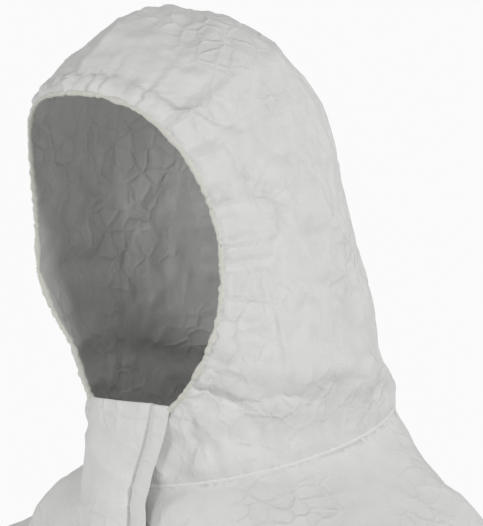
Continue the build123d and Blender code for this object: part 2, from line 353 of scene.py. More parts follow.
def newMaterial(name):
    material = bpy.data.materials.new(name)
    material.use_nodes = True
    return material, material.node_tree, material.node_tree.nodes["Principled BSDF"]


# Thin bonded fibre: a fine fibrous grain, small embossed dots and sharp small creases
def clothMaterial(name, s, colour=None, wrinkleStrength=0.6, fibreStrength=0.14):
    material, tree, shader = newMaterial(name)
    shader.inputs["Roughness"].default_value = s["roughness"]
    shader.inputs["Sheen Weight"].default_value = 0.15
    shader.inputs["Sheen Roughness"].default_value = 0.5
    shader.inputs["Specular IOR Level"].default_value = 0.3
    place = addNode(tree, "ShaderNodeTexCoord", {}).outputs["Object"]
    fibre = addNode(tree, "ShaderNodeTexNoise", {"Vector": place, "Scale": 1000.0 / s["fibre"], "Detail": 3})
    cloud = addNode(tree, "ShaderNodeTexNoise", {"Vector": place, "Scale": 90, "Detail": 4})
    dotScale = {"Vector": place, "Scale": 1000.0 / s["dimple"], "Randomness": 0.35}
    dots = addNode(tree, "ShaderNodeTexVoronoi", dotScale)
    warp = addNode(tree, "ShaderNodeTexNoise", {"Vector": place, "Scale": 45, "Detail": 2})
    shifted = {"Fac": 0.012, "Color1": place, "Color2": warp.outputs["Color"]}
    shift = addNode(tree, "ShaderNodeMixRGB", shifted, blend_type="ADD")
    crease = addNode(
        tree, "ShaderNodeTexVoronoi", {"Vector": shift.outputs["Color"], "Scale": 1000.0 / s["wrinkle"]},
        feature="DISTANCE_TO_EDGE",
    )
    creaseShape = addNode(
        tree, "ShaderNodeMapRange",
        {"Value": crease.outputs["Distance"], "From Max": 0.16, "To Min": 1.0, "To Max": 0.0},
    )
    creaseWhere = addNode(tree, "ShaderNodeTexNoise", {"Vector": place, "Scale": 22})
    creaseMask = addNode(
        tree, "ShaderNodeMapRange", {"Value": creaseWhere.outputs["Fac"], "From Min": 0.42, "From Max": 0.62},
    )
    creaseHeight = addNode(
        tree, "ShaderNodeMath", {0: creaseShape.outputs["Result"], 1: creaseMask.outputs["Result"]},
        operation="MULTIPLY",
    )
    bump = None
    for height, strength, depth in (
        (creaseHeight.outputs["Value"], wrinkleStrength, 0.0012), (dots.outputs["Distance"], 0.22, 0.0005),
        (fibre.outputs["Fac"], fibreStrength, 0.0006),
    ):
        given = {"Height": height, "Strength": strength, "Distance": depth}
        if bump:
            given["Normal"] = bump.outputs["Normal"]
        bump = addNode(tree, "ShaderNodeBump", given)
    base = colour or s["colour"]
    tone = addNode(
        tree, "ShaderNodeMapRange", {"Value": cloud.outputs["Fac"], "From Min": 0.3, "From Max": 0.6},
    )
    tint = addNode(tree, "ShaderNodeMixRGB", {
        "Fac": tone.outputs["Result"], "Color1": (base[0] * 0.955, base[1] * 0.955, base[2] * 0.95, 1),
        "Color2": (*base, 1),
    })
    tree.links.new(tint.outputs["Color"], shader.inputs["Base Color"])
    tree.links.new(bump.outputs["Normal"], shader.inputs["Normal"])
    return material


hoodCloth = clothMaterial("whiteNonwoven", clothLook)
flapCloth = clothMaterial("flapNonwoven", clothLook, (0.81, 0.81, 0.80), 0.5)
seamCloth = clothMaterial("seamBead", clothLook, (0.84, 0.84, 0.83), 0.1, 0.3)
hemCloth = clothMaterial("overlockedHem", clothLook, (0.72, 0.72, 0.66), 0.2, 0.35)


# Thread, zip tape and moulded zip parts: fine bands or grain on one colour
def fineMaterial(name, colour, roughness, scale, bands, strength, sheen=0.0):
    material, tree, shader = newMaterial(name)
    shader.inputs["Roughness"].default_value = roughness
    shader.inputs["Sheen Weight"].default_value = sheen
    grainScale = {"Vector": addNode(tree, "ShaderNodeTexCoord", {}).outputs["Object"], "Scale": scale}
    if bands:
        grain = addNode(tree, "ShaderNodeTexWave", {**grainScale, "Distortion": 1.5}, bands_direction="Z")
    else:
        grain = addNode(tree, "ShaderNodeTexNoise", grainScale)
    height = grain.outputs["Fac"]
    darker = (*[c * 0.9 for c in colour], 1)
    tone = addNode(tree, "ShaderNodeMixRGB", {"Fac": height, "Color1": darker, "Color2": (*colour, 1)})
    bump = addNode(tree, "ShaderNodeBump", {"Height": height, "Strength": strength, "Distance": 0.0003})
    tree.links.new(tone.outputs["Color"], shader.inputs["Base Color"])
    tree.links.new(bump.outputs["Normal"], shader.inputs["Normal"])
    return material


stitchThread = fineMaterial("stitchThread", (0.76, 0.76, 0.71), 0.6, 2200, False, 0.4, sheen=0.2)
tapeWeave = fineMaterial("zipTapeWeave", (0.80, 0.80, 0.79), 0.75, 520, True, 0.6, sheen=0.2)
zipPlastic = fineMaterial("zipPlastic", (0.79, 0.79, 0.78), 0.38, 900, False, 0.1)
report("materials made")


# Hood: a form of ellipses, and the face opening's edge

hoodShape = {
    "sections": [  # height, half-width, half-depth, centre y
        (-45, 94, 95, 0), (0, 94, 96, -1), (25, 97, 100, -6), (48, 107, 96, -20), (96, 100, 102, -36),
        (144, 92, 102, -46), (182, 85, 98, -50), (213, 74, 84, -48), (235, 58, 62, -47), (253, 33, 37, -50),
        (263, 2, 2, -53),
    ],
    "hem": [  # left half of the opening's edge, forehead to throat
        (0, -140, 204), (30, -134, 201), (54, -122, 189), (71, -108, 166), (80, -98, 138), (84, -93, 108),
        (82, -94, 76), (70, -95, 50), (50, -96, 27), (24, -98, 11), (0, -99, 7),
    ],
    "centre": (0, -45, 105),
    "backPole": (0, 1, 0.1),
    "columns": 3.6,  # spacing along the opening's edge
    "rings": 80,
    "top": 263, "bottom": -75,
}
neckSeam = {"halfWidth": 94.0, "halfDepth": 95.0, "rise": 0.267}

hoodRows = np.array(hoodShape["sections"], float)
hoodWidth = smoothLine(hoodRows[:, 0], hoodRows[:, 1])
hoodDepth = smoothLine(hoodRows[:, 0], hoodRows[:, 2])
hoodMiddle = smoothLine(hoodRows[:, 0], hoodRows[:, 3])


def outsideHood(p):
    z = p[..., 2]
    value = (p[..., 0] / hoodWidth(z)) ** 2 + ((p[..., 1] - hoodMiddle(z)) / hoodDepth(z)) ** 2 - 1
    value = np.where(z > hoodShape["top"], 1, value)
    return np.where(z < hoodShape["bottom"], 1, value)


# Where rays from the hood's centre meet its form
def hoodSurface(directions):
    centre = np.array(hoodShape["centre"], float)
    low, high = np.full(len(directions), 5.0), np.full(len(directions), 330.0)
    for _ in range(40):
        mid = (low + high) / 2
        outside = outsideHood(centre + directions * mid[:, None]) > 0
        high = np.where(outside, mid, high)
        low = np.where(outside, low, mid)
    return centre + directions * low[:, None]


# Height above the neck seam's plane
def neckHeight(p):
    k = neckSeam["rise"]
    return (p[:, 2] - k * p[:, 1]) / math.sqrt(1 + k * k)


def neckLine(spacing):
    turn = np.linspace(0, 2 * math.pi, 73)[:-1]
    x, y = neckSeam["halfWidth"] * np.sin(turn), -neckSeam["halfDepth"] * np.cos(turn)
    return evenLine(np.stack([x, y, neckSeam["rise"] * y], 1), spacing, closed=True)


hemHalf = [tuple(p) for p in hoodShape["hem"]]
hemLoop = hemHalf + [(-x, y, z) for x, y, z in hemHalf[-2:0:-1]]
hemLine, hemRun = evenLine(hemLoop, hoodShape["columns"], closed=True)


# The wearer's right of the collar is drawn in by the closed zip and flap
collarPull = smoothLine((-50, -20, 3, 27, 50, 75, 100), (0, 5, 7, 12, 16, 9, 0))


def pullCollar(points):
    away = np.array([screenRight.x, screenRight.y, 0])
    near = fade(-(points @ away), 58, 108)
    return points + away * (collarPull(points[:, 2]) * near)[:, None]


# 1 on the neck seam's ellipse, less inside it
def neckRatio(points):
    return np.sqrt((points[:, 0] / neckSeam["halfWidth"]) ** 2 + (points[:, 1] / neckSeam["halfDepth"]) ** 2)


# Brings an edge cut at the neck exactly onto the seam
def snapToNeck(obj, reach=1.2):
    points = getPoints(obj)
    k = neckSeam["rise"]
    ratio = neckRatio(points)
    edge = (np.abs(neckHeight(points)) < reach) & (ratio < 1.3) & (ratio > 0.7)
    points[edge, 0] /= ratio[edge]
    points[edge, 1] /= ratio[edge]
    points[edge, 2] = k * points[edge, 1]
    setPoints(obj, points)


# Rings that run from the opening's edge back over the head to a pole
def makeHoodGrid():
    centre = np.array(hoodShape["centre"], float)
    start = hemLine - centre
    start /= np.linalg.norm(start, axis=1)[:, None]
    pole = np.array(hoodShape["backPole"], float)
    pole /= np.linalg.norm(pole)
    angle = np.arccos(np.clip(start @ pole, -1, 1))
    hemOff = hemLine - hoodSurface(start)
    rings = []
    for j in range(hoodShape["rings"]):
        t = j / hoodShape["rings"]
        mix = np.sin((1 - t) * angle)[:, None] * start + np.sin(t * angle)[:, None] * pole
        surface = hoodSurface(mix / np.sin(angle)[:, None])
        rings.append(surface + hemOff * (1 - fade(t, 0, 0.06)))
    n = len(hemLine)
    verts = np.concatenate(rings + [hoodSurface(pole[None])])
    faces = ringFaces(hoodShape["rings"], n)
    last = (hoodShape["rings"] - 1) * n
    faces += [(last + i, last + (i + 1) % n, len(verts) - 1) for i in range(n)]
    return meshObject("hoodCloth", verts, faces)


hood = makeHoodGrid()
cutMesh(hood, (0, 0, 0), (0, -neckSeam["rise"], 1))
outwards(hood)
if ((getPoints(hood) - np.array(hoodShape["centre"])) * getNormals(hood)).sum(1).mean() < 0:
    hood.data.flip_normals()
report(f"hood grid, {len(hood.data.vertices)} points")

hoodDrape = {
    "quality": 5, "mass": 0.1, "stretch": 12, "bend": 0.06, "damping": 3, "spare": 0.035, "gravity": 0.04,
    "frames": 22, "cap": 4.0,
}
hoodPoints = getPoints(hood)
hemNear, _ = nearestOn(hoodPoints, hemLine)
drape(hood, hoodDrape, np.maximum(1 - fade(hemNear, 2, 12), 1 - fade(neckHeight(hoodPoints), 2, 12)))
subdivide(hood)
report("hood draped")

# Folds on the wearer's left side of the hood: how far each stands out, or in if below zero, how wide
# its slopes are ahead of its line and behind it, and the line's (y, z) points seen from the side
hoodFolds = [
    (-2.4, 3.5, 11, [(-94, 138), (-81, 151), (-65, 164)]),
    (2.4, 12, 4, [(-71, 101), (-54, 91), (-33, 81)]),
    (3.2, 17, 5, [(-71, 101), (-66, 84), (-59, 55), (-45, 22), (-37, 6)]),
    (3.4, 15, 6, [(-2, 104), (2, 72), (-1, 49), (12, 24), (22, 14)]),
    (2.4, 5, 14, [(-3, 96), (-22, 73), (-25, 45), (-24, 4)]),
    (-2.6, 5, 11, [(-93, 46), (-69, 22), (-50, -2)]),
    (1.6, 4, 7, [(-90, 26), (-76, 7), (-62, -11)]),
    (1.3, 4, 6, [(-89, 6), (-76, -8)]),
    (1.8, 6, 6, [(-48, 22), (-46, -6)]),
    (1.3, 4, 5, [(-36, 10), (-24, -1)]),
    (-1.2, 3, 5, [(-92, 60), (-76, 66), (-62, 64)]),
    (0.9, 3, 4, [(-86, 76), (-70, 80)]),
    (1.1, 7, 2.5, [(-2, 178), (-18, 131), (-28, 85)]),
    (0.9, 4, 2, [(-60, 120), (-60, 101)]),
    (0.9, 3, 4, [(-69, 122), (-58, 140)]),
    (1.8, 6, 9, [(-109, 232), (-103, 237), (-92, 236)]),
    (1.2, 6, 8, [(-93, 235), (-116, 214)]),
    (2.0, 8, 3, [(-77, 255), (-60, 250), (-41, 250), (-31, 244), (-6, 230)]),
]


# How far each point moves outwards for a ridge along a line. The sign of the two axes' cross
# product tells the side ahead of the line from the one behind it.
def ridgeOffset(points, line, run, fold, axes, rise, strength):
    high, ahead, behind, _ = fold
    a, b = axes
    distance, index = nearestOn(points, line)
    along = run[index] / run[-1]
    step = line[np.minimum(index + 1, len(line) - 1)] - line[np.maximum(index - 1, 0)]
    off = points - line[index]
    sideSign = step[:, a] * off[:, b] - step[:, b] * off[:, a]
    width = np.where(sideSign > 0, ahead, behind)
    swell = np.minimum(np.sin(np.pi * np.clip(along, 0.02, 0.98)) * rise, 1)
    sharp = np.exp(-np.sqrt((distance / width) ** 2 + 0.02) * 1.25)
    return strength * high * swell * sharp


def foldOffset(points, fold, side):
    flat = np.array(fold[3], float)
    z = flat[:, 1]
    inside = np.clip(1 - ((flat[:, 0] - hoodMiddle(z)) / hoodDepth(z)) ** 2, 0.01, 1)
    line, run = evenLine(np.stack([side * hoodWidth(z) * np.sqrt(inside), flat[:, 0], z], 1), 2.0)
    return ridgeOffset(points, line, run, fold, (1, 2), 1.6, 1.5)


# Small radiating folds beside a gathered edge
def gatherOffset(points, line, run, spread, tall, seed):
    distance, index = nearestOn(points, line)
    along = run[index]
    total = np.zeros(len(points))
    random = np.random.default_rng(seed)
    length = run[-1]
    for count, share in ((58, 1.0), (41, 1.1), (27, 1.2), (17, 1.3), (11, 1.1)):
        wave = length / count
        phase = random.uniform(0, 6.28)
        here, beside = (np.stack([along, along * 0 + row, along * 0 + count], 1) for row in (0, 7))
        wander = softNoise(here, 45, seed + count) * 2.5
        amount = 0.55 + 0.45 * softNoise(beside, 30, seed + count + 9)
        reach = spread * wave / 20
        ripple = np.abs(np.sin(along / wave * 6.283 + phase + wander)) ** 0.8
        total += share * amount * (1 - 1.25 * ripple + 0.25) * np.exp(-distance / reach) * (wave / 16) ** 0.6
    return total * tall * fade(distance, 0.0, 3.0)


hoodSurfaceLook = {  # sizes of the facets, how far they stand out, and their seeds
    "gatherReach": 24, "gatherHeight": 1.7, "seamHeight": 1.1, "seamWidth": 2.4,
    "swell": (52, 2.2, 11), "large": (46, 4.4, 14), "middle": (23, 2.6, 15), "small": (11, 1.1, 16),
    "fine": (8.5, 0.35, 13),
}


def shapeHood():
    s = hoodSurfaceLook
    points = getPoints(hood)
    normals = getNormals(hood)
    height = neckHeight(points)
    hemDistance, _ = nearestOn(points, hemLine)
    offset = np.zeros(len(points))
    left = points[:, 0] > -5
    for fold in hoodFolds:
        offset[left] += foldOffset(points[left], fold, 1)
    for number, fold in enumerate(hoodFolds):  # the right side has its own, looser set
        if number % 2 == 0:
            moved = (*fold[:3], [(y + 9, z - 7) for y, z in fold[3]])
            right = points[:, 0] < 0
            offset[right] += foldOffset(points[right], moved, -1)
    gathers = gatherOffset(points, hemLine, hemRun, s["gatherReach"], s["gatherHeight"], 5)
    offset += gathers * (0.45 + 0.55 * fade(points[:, 0], -70, -20))
    calm = fade(hemDistance, 4, 40)
    tall = points * np.array([1, 1, 0.55])
    size, high, seed = s["swell"]
    offset += crumple(tall, size, seed) * high * (0.35 + 0.65 * calm)
    size, high, seed = s["large"]
    offset += facets(tall, size, seed) * high * (0.3 + 0.7 * calm)
    for size, high, seed in (s["middle"], s["small"]):
        offset += facets(tall, size, seed) * high
    size, high, seed = s["fine"]
    offset += crumple(tall, size, seed) * high
    ridge = (points[:, 1] > -125) & (height > 2)  # crown seam under the cloth
    offset += np.where(ridge, s["seamHeight"] * np.exp(-np.abs(points[:, 0]) / s["seamWidth"]), 0)
    nearNeck = np.exp(-((height - 6) / 9) ** 2)
    turn = np.arctan2(points[:, 0], -points[:, 1])
    offset += nearNeck * 0.8 * np.sin(turn * 38 + 2 * np.sin(turn * 7))
    hold = fade(height, 0, 7) * fade(hemDistance, -1, 5)
    points += normals * (offset * hold)[:, None]
    setPoints(hood, points)
    snapToNeck(hood)
    setPoints(hood, pullCollar(getPoints(hood)))


shapeHood()
smoothShade(hood)
hood.data.materials.append(hoodCloth)
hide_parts("hood_left_panel", "hood_right_panel", "crown_seam", "face_hem", "face_elastic")
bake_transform(hood)
report("hood folds")


# Body and sleeves: the body is one remeshed form cut at the armholes, and each sleeve is a tube of
# rings. Only the sleeves are simulated. The body's folds are all made in shapeBody.

bodyShape = {
    "frontTop": -95.0, "frontAt": -25.4, "frontSlope": 0.055,
    "sections": [  # height, half-width, back
        (52, 92, 93), (25, 95, 95), (12, 97, 98), (0, 101, 102), (-12, 110, 107), (-26, 128, 113),
        (-41, 152, 118), (-54, 172, 121), (-70, 189, 122), (-90, 199, 123), (-148, 190, 125),
        (-208, 178, 125), (-260, 172, 125), (-350, 182, 118), (-450, 172, 103), (-600, 194, 126),
        (-700, 200, 116), (-752, 199, 104),
    ],
    "legs": [  # height, centre x, centre y, half-width, half-depth
        (-690, 102, -8, 96, 108), (-728, 104, -10, 97, 110), (-897, 110, -8, 92, 104),
        (-1064, 115, -4, 84, 94), (-1254, 121, 4, 76, 84), (-1429, 127, 10, 66, 74),
        (-1494, 129, 12, 53, 59), (-1520, 129, 12, 53, 59),
    ],
    "armhole": (190.0, 0.0, -148.0), "armholeRadius": 98.0, "armholeTilt": 12.0,
    "bendRadius": 101.0, "bend": 72.0, "sleeveLength": 492.0, "wristRadius": 38.0,
    "hem": -1505.0, "ankleX": 129, "ankleY": 12, "waist": -450, "zipTop": -25, "zipBottom": -745,
    "cell": 9.0, "leftDrop": 5.0, "rightDrop": 13.0, "sleeveDrop": 24.0, "upperArm": 82.0,
}


def frontLine(z):
    s = bodyShape
    return s["frontTop"] + s["frontSlope"] * (z - s["frontAt"])


# A closed tube through rings of points
def tube(name, rings):
    n = len(rings[0])
    verts = np.concatenate(rings)
    ends = [tuple(range(n - 1, -1, -1)), tuple(range((len(rings) - 1) * n, len(rings) * n))]
    return meshObject(name, verts, ends + ringFaces(len(rings), n))


# The way the sleeve runs and the way its outer side faces, at an angle below level
def armFrame(side, angle):
    a = math.radians(angle)
    return np.array([side * math.cos(a), 0, -math.sin(a)]), np.array([side * math.sin(a), 0, math.cos(a)])


def circle(centre, up, radius, count=72):
    turn = np.linspace(0, 2 * math.pi, count + 1)[:-1]
    return centre + np.cos(turn)[:, None] * up * radius + np.sin(turn)[:, None] * np.array([0, 1, 0]) * radius


# The armhole's middle, the sleeve's two directions there and past the bend, and its top and wrist
def armPlaces(side):
    s = bodyShape
    hole = np.array(s["armhole"]) * np.array([side, 1, 1])
    run, up = armFrame(side, s["armholeTilt"])
    pivot = hole - up * s["bendRadius"]
    armRun, armUp = armFrame(side, s["armholeTilt"] + s["bend"])
    top = pivot + armUp * s["bendRadius"]
    return hole, run, up, pivot, armRun, armUp, top, top + armRun * s["sleeveLength"]


# The sleeve's rings from the armhole, round the bend and down to the cuff
def armRings(side):
    s = bodyShape
    *_, pivot, armRun, armUp, top, _ = armPlaces(side)
    rings = []
    for t in np.linspace(0, 1, 19):
        _, u = armFrame(side, s["armholeTilt"] + t * s["bend"])
        radius = s["armholeRadius"] + (s["upperArm"] - s["armholeRadius"]) * fade(t, 0, 1)
        rings.append(circle(pivot + u * s["bendRadius"], u, radius))
    for t in np.linspace(0, 1, 62)[1:]:
        radius = s["upperArm"] + (s["wristRadius"] - s["upperArm"]) * t
        rings.append(circle(top + armRun * s["sleeveLength"] * t, armUp, radius))
    return rings


# Lets the shoulders and the sleeves' tops fall
def slopeShoulders(points):
    s = bodyShape
    away = np.abs(points[:, 0])
    drop = np.where(points[:, 0] > 0, s["leftDrop"], s["rightDrop"])
    drop = drop * fade(away, 96, 150) * fade(points[:, 2], -210, -75)
    drop = drop + s["sleeveDrop"] * fade(away, 130, 270) * fade(points[:, 2], -330, -90)
    return points - np.stack([drop * 0, drop * 0, drop], 1)


def armholeLine(side):
    hole, _, up, *_ = armPlaces(side)
    return circle(hole, up, bodyShape["armholeRadius"], 240)


# Moves the points of an open edge onto the line that it should follow
def snapToLine(obj, line, reach):
    bm = bmesh.new()
    bm.from_mesh(obj.data)
    free = np.array([v.is_boundary for v in bm.verts])
    bm.free()
    points = getPoints(obj)
    distance, index = nearestOn(points, line)
    edge = free & (distance < reach)
    points[edge] = line[index[edge]]
    setPoints(obj, points)


def ellipseRing(x, y, z, halfWidth, halfDepth, count=72):
    turn = np.linspace(0, 2 * math.pi, count + 1)[:-1]
    return np.stack([x + halfWidth * np.sin(turn), y - halfDepth * np.cos(turn), np.full(count, float(z))], 1)


def makeBody():
    s = bodyShape
    rows = np.array(s["sections"], float)
    width, back = smoothLine(rows[:, 0], rows[:, 1]), smoothLine(rows[:, 0], rows[:, 2])
    rings = []
    for z in np.arange(-752, 53, 7.0):
        front = frontLine(z) + 16 * fade(-z, 700, 752)
        rings.append(ellipseRing(0, (front + back(z)) / 2, z, width(z), (back(z) - front) / 2))
    rings.insert(0, rings[0] * np.array([0.93, 0.93, 1]) + np.array([0, 0, -10]))
    parts = [tube("torsoForm", rings)]
    legs = np.array(s["legs"], float)
    lines = [smoothLine(legs[:, 0], legs[:, k]) for k in range(1, 5)]
    for side in (1, -1):
        rings = []
        for z in np.arange(-1520, -689, 12.0):
            x, y, halfWidth, halfDepth = (line(z) for line in lines)
            rings.append(ellipseRing(side * x, y, z, halfWidth, halfDepth))
        parts.append(tube("legForm", rings))
        hole, run, up, *_ = armPlaces(side)
        steps = ((-95, 24), (-50, 7), (-20, 1), (0, 0), (18, 0))  # how far along, how much smaller
        rings = [circle(hole + run * along, up, s["armholeRadius"] - less) for along, less in steps]
        parts.append(tube("armholeForm", rings))
    for part in parts:
        outwards(part)
    bpy.ops.object.select_all(action="DESELECT")
    for part in parts:
        part.select_set(True)
    bpy.context.view_layer.objects.active = parts[0]
    bpy.ops.object.join()
    body = bpy.context.view_layer.objects.active
    body.name = "bodyCloth"
    remesh = body.modifiers.new("even", "REMESH")
    remesh.mode = "VOXEL"
    remesh.voxel_size = s["cell"] * mm
    smooth = body.modifiers.new("smooth", "SMOOTH")
    smooth.factor = 0.5
    smooth.iterations = 9  # rounds off the steps of the remesh
    bakeModifiers(body)
    k = neckSeam["rise"]
    cutMesh(body, (0, 0, 0), (0, k, -1), where=lambda c: c.z > -60 and abs(c.x) < 140)
    cutMesh(body, (0, 0, s["hem"]), (0, 0, 1), where=lambda c: c.z < s["hem"] + 60)
    for side in (1, -1):
        hole, run, *_ = (Vector(v) for v in armPlaces(side)[:2])

        def nearHole(c):
            along = (c - hole).dot(run)
            return -30 < along < 40 and (c - hole - run * along).length < bodyShape["armholeRadius"] + 4
        cutMesh(body, hole, -run, where=nearHole)
        snapToLine(body, armholeLine(side), 30.0)
    points = getPoints(body)
    depth = -neckHeight(points)
    ratio = neckRatio(points)
    near = (depth < 16) & (ratio < 1.5)
    wanted = 1 + (ratio - 1) * fade(depth, -1, 16)
    scale = np.where(near, wanted / ratio, 1)
    points[:, 0] *= scale
    points[:, 1] *= scale
    setPoints(body, slopeShoulders(points))
    return body


def makeSleeve(side, name):
    rings = armRings(side)
    n = len(rings[0])
    points = slopeShoulders(np.concatenate(rings))
    sleeve = meshObject("sleeveCloth_" + name, points, ringFaces(len(rings), n))
    outwards(sleeve)
    middle = np.repeat(np.array([ring.mean(0) for ring in rings]), n, 0)
    if ((getPoints(sleeve) - middle) * getNormals(sleeve)).sum(1).mean() < 0:
        sleeve.data.flip_normals()
    return sleeve


body = makeBody()
sleeves = [makeSleeve(1, "left"), makeSleeve(-1, "right")]
armholes = [slopeShoulders(armholeLine(side)) for side in (1, -1)]
report(f"body grid, {len(body.data.vertices)} points")

bodyFolds = [  # on the shoulders and chest, in the same way, with (x, y, z) points
    (3.0, 9, 14, [(70, -62, -24), (95, -70, -45), (128, -80, -95)]),
    (3.2, 14, 9, [(92, -22, -8), (130, -30, -32), (175, -45, -62)]),
    (3.4, 10, 16, [(86, 36, 2), (125, 50, -22), (165, 60, -48)]),
    (2.4, 8, 10, [(48, -84, -30), (60, -92, -60), (80, -98, -110)]),
    (-2.6, 9, 9, [(98, 6, -2), (140, 10, -26), (185, 10, -48)]),
    (3.0, 12, 9, [(-70, -62, -24), (-105, -70, -50), (-140, -70, -100)]),
    (3.0, 9, 14, [(-92, -16, -6), (-135, -25, -34), (-180, -35, -64)]),
]


# Distance to the nearer armhole seam
def toArmhole(points):
    return np.minimum(*[nearestOn(points, line)[0] for line in armholes])


# Level folds round a tube, as at a waist, elbow, knee or ankle
def bandFold(points, centre, spread, wave, tall, seed):
    z = points[:, 2]
    stretched = points * np.array([1, 1, 0.3])
    wander = softNoise(stretched, 60, seed) * 0.9 + softNoise(stretched, 24, seed + 1) * 0.35
    ripple = np.sin((z - centre) / wave * 6.283 + wander * 4)
    return tall * (1 - 1.5 * np.abs(ripple) ** 0.8) * np.exp(-((z - centre) / spread) ** 2)


# Pleats round an elastic, as waves of the angle that wander and change in size
def pleats(turn, along, count, seed):
    place = np.stack([np.cos(turn) * 60, np.sin(turn) * 60, along * 0.35], 1)
    wander = softNoise(place, 26, seed) * 1.8
    amount = 0.65 + 0.5 * softNoise(place, 30, seed + 1)
    return amount * (0.6 - 1.3 * np.abs(np.sin(turn * count / 2 + wander)))


# Large and small facets shared by the body and the sleeves, still at the armhole seams
def clothOffset(points):
    tall = points * np.array([1, 1, 0.55])
    offset = crumple(points, 120, 31) * 4.5
    offset += facets(tall, 70, 34) * 5.5
    offset += facets(tall, 31, 32) * 3.0
    offset += facets(tall, 15, 33) * 1.1
    return offset, fade(toArmhole(points), 1, 16)


bodyBands = [  # waist, knees and ankles: height, spread, wave, how far the folds stand out, seed
    (-452, 34, 24, 3.0, 44), (-1075, 95, 74, 3.6, 45), (-1450, 46, 30, 3.0, 46),
]


def shapeBody():
    s = bodyShape
    points = getPoints(body)
    normals = getNormals(body)
    height = neckHeight(points)
    offset, still = clothOffset(points)
    for fold in bodyFolds:
        line, run = evenLine(fold[3], 4.0)
        offset += ridgeOffset(points, line, run, fold, (0, 1), 1.4, 1.4)
    for band in bodyBands:
        offset += bandFold(points, *band)
    for side in (1, -1):  # pleats where the elastic draws the ankles in
        toHem = points[:, 2] - s["hem"]
        turn = np.arctan2(points[:, 1] - s["ankleY"], points[:, 0] - side * s["ankleX"])
        nearAnkle = (points[:, 0] * side > 0) & (toHem < 110)
        offset += np.where(nearAnkle, pleats(turn, toHem, 30, 63) * 1.9 * np.exp(-toHem / 30), 0)
    turn = np.arctan2(points[:, 0], points[:, 1])
    shirring = pleats(turn, points[:, 2], 46, 65) * 2.2 * np.exp(-np.abs(points[:, 2] - s["waist"]) / 24)
    offset += np.where(points[:, 1] > 4, shirring, 0)  # only the back of the waist is elastic
    hold = fade(-height, 0, 14) * still
    points += normals * (offset * hold)[:, None]
    points[:, 2] = np.maximum(points[:, 2], s["hem"])
    x, y, z = points.T  # the folds stay behind the zip and its slider
    nearZip = (y < 0) & (z > s["zipBottom"]) & (z < s["zipTop"])
    behind = frontLine(z) + 1.0 - 14 * fade(np.abs(x), 14, 36)
    points[:, 1] = np.where(nearZip, np.maximum(y, behind), y)
    setPoints(body, points)
    snapToNeck(body, 3.0)
    setPoints(body, pullCollar(getPoints(body)))


sleeveBands = [(-425, 85, 58, 3.4, 41), (-690, 26, 15, 2.2, 43)]  # elbow and wrist


def shapeSleeve(sleeve, side):
    points = getPoints(sleeve)
    normals = getNormals(sleeve)
    *_, armRun, armUp, _, wrist = armPlaces(side)
    offset, still = clothOffset(points)
    for band in sleeveBands:
        offset += bandFold(points, *band)
    toWrist = np.maximum((wrist - points) @ armRun, 0)
    turn = np.arctan2((points - wrist) @ armUp, points[:, 1] - wrist[1])
    offset += pleats(turn, toWrist, 22, 61) * 1.6 * np.exp(-toWrist / 26)
    setPoints(sleeve, points + normals * (offset * still)[:, None])


sleeveDrape = {
    "quality": 5, "mass": 0.15, "stretch": 12, "bend": 0.25, "damping": 3, "spare": 0.045, "gravity": 0.12,
    "frames": 24, "cap": 11.0,
}


def sleeveHold(sleeve, side):
    points = getPoints(sleeve)
    *_, armRun, _, _, wrist = armPlaces(side)
    return np.maximum(1 - fade(toArmhole(points), 3, 22), 1 - fade((wrist - points) @ armRun, 4, 26))


subdivide(body)
for line in armholes:
    snapToLine(body, line, 6.0)
shapeBody()
smoothShade(body)
body.data.materials.append(hoodCloth)
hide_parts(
    "front_left_panel", "front_right_panel", "back_left_panel", "back_right_panel", "crotch_gusset",
    "neck_seam", "neck_label", "waist_elastic", "ankle_hem_left", "ankle_hem_right", "ankle_elastic_left",
    "ankle_elastic_right",
)
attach(body, "torso")
report(f"body folds, {len(body.data.polygons)} faces")

for side, name, sleeve in ((1, "left", sleeves[0]), (-1, "right", sleeves[1])):
    drape(sleeve, sleeveDrape, sleeveHold(sleeve, side))
    subdivide(sleeve)
    shapeSleeve(sleeve, side)
    smoothShade(sleeve)
    sleeve.data.materials.append(hoodCloth)
    hole, run, *_ = armPlaces(side)
    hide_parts(f"sleeve_{name}", f"cuff_hem_{name}", f"cuff_elastic_{name}")
    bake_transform(sleeve)
report("sleeves")


# Storm flap: one strip, sewn along the wearer's right of the zip, its free edge turned outwards

flapShape = {
    "top": 27.0, "bottom": -714.0, "thickness": 0.9,
    "topProfile": [  # across the flap at its top: x, how far it stands off the zip line
        (-28, 2.5), (-22, 7.5), (-12, 13), (4, 13.5), (17, 12), (27, 9), (31, 6.2), (36, 7.8), (44, 5.5),
    ],
    "lowProfile": [
        (-34, 1.5), (-30, 7), (-20, 11.5), (-8, 14), (4, 13), (10, 8.5), (14, 4.6), (20, 6.8), (29, 6.2),
    ],
    "rows": 430, "columns": 54,
}


